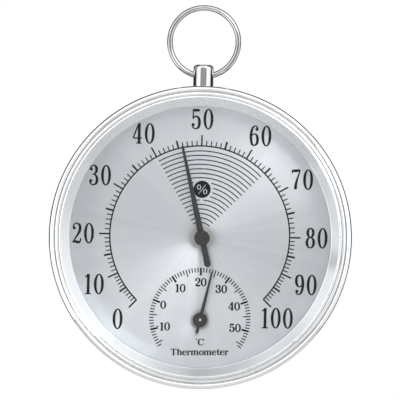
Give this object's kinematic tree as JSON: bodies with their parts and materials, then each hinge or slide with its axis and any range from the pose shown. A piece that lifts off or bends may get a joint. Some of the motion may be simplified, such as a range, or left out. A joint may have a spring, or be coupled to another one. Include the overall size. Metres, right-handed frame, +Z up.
{
  "type": "dial hygrometer",
  "caption": "Round wall hygrometer with a small thermometer dial under its hub, in a polished bezel and steel case, hung by a wire ring through a short post.",
  "frame": {"origin": "where a hook carries the part: the inner top of the hanging ring, in the ring's mid plane", "axes": "+Y out of the flat back of the case, into the wall; the dial faces -Y; +Z up; +X to the right as the dial is read"},
  "size_m": [0.1, 0.024, 0.1268],
  "materials": {
    "chrome": "bright polished",
    "reflector": "polished, faint ripples",
    "case_steel": "spun satin",
    "fastener_steel": "machined",
    "arbor_steel": "ground",
    "dial_silver": "sunray brushed, lacquered",
    "black_paint": "matte black",
    "lens_glass": "clear, polished",
    "gasket_rubber": "matte",
    "black_plastic": "moulded satin",
    "brass": "rolled strip, light tarnish",
    "humidity_strip": "coated strip",
    "bimetal": "rolled strip"
  },
  "bodies": {
    "hanger": {"hanging_ring": "chrome"},
    "case": {"hanger_post": "chrome", "post_screw": "fastener_steel", "case_cup": "case_steel", "bezel": "chrome", "lens": "lens_glass", "lens_gasket": "gasket_rubber", "reflector_ring": "reflector", "dial_plate": "dial_silver", "dial_carrier": "black_plastic", "humidity_front_plate": "brass", "humidity_pillar_left": "brass", "humidity_pillar_right": "brass", "humidity_back_bar": "brass", "back_bar_screw_left": "fastener_steel", "back_bar_screw_right": "fastener_steel", "humidity_bush": "brass", "humidity_bush_nut": "brass", "thermometer_bracket": "brass", "thermometer_bush": "brass", "thermometer_bush_nut": "brass", "bimetal_anchor": "brass"},
    "calibrator": {"calibration_arm": "brass"},
    "humidity_hand": {"humidity_pointer": "black_paint", "humidity_pointer_boss": "black_paint", "humidity_arbor": "arbor_steel", "humidity_collet": "brass", "humidity_coil": "humidity_strip"},
    "thermometer_hand": {"thermometer_pointer": "black_paint", "thermometer_arbor": "arbor_steel", "thermometer_collet": "brass", "bimetal_coil": "bimetal"}
  },
  "joints": [
    {"name": "hanger_swing", "type": "hinge", "parent": "hanger", "child": "case", "pos_m": [0, 0, -0.02155], "axis": [1, 0, 0], "range_deg": [-90, 90]},
    {"name": "calibration_turn", "type": "hinge", "parent": "case", "child": "calibrator", "pos_m": [0.00065, 0, -0.07523], "axis": [0, 1, 0], "range_deg": [-12, 12]},
    {"name": "humidity_turn", "type": "hinge", "parent": "calibrator", "child": "humidity_hand", "pos_m": [0.00065, 0, -0.07523], "axis": [0, 1, 0], "range_deg": [-124, 146], "stiffness_Nm_per_rad": 0.001, "deforming": ["humidity_coil"]},
    {"name": "thermometer_turn", "type": "hinge", "parent": "case", "child": "thermometer_hand", "pos_m": [0.00065, 0, -0.1024], "axis": [0, 1, 0], "range_deg": [-138, 110], "stiffness_Nm_per_rad": 0.001, "deforming": ["bimetal_coil"]}
  ]
}
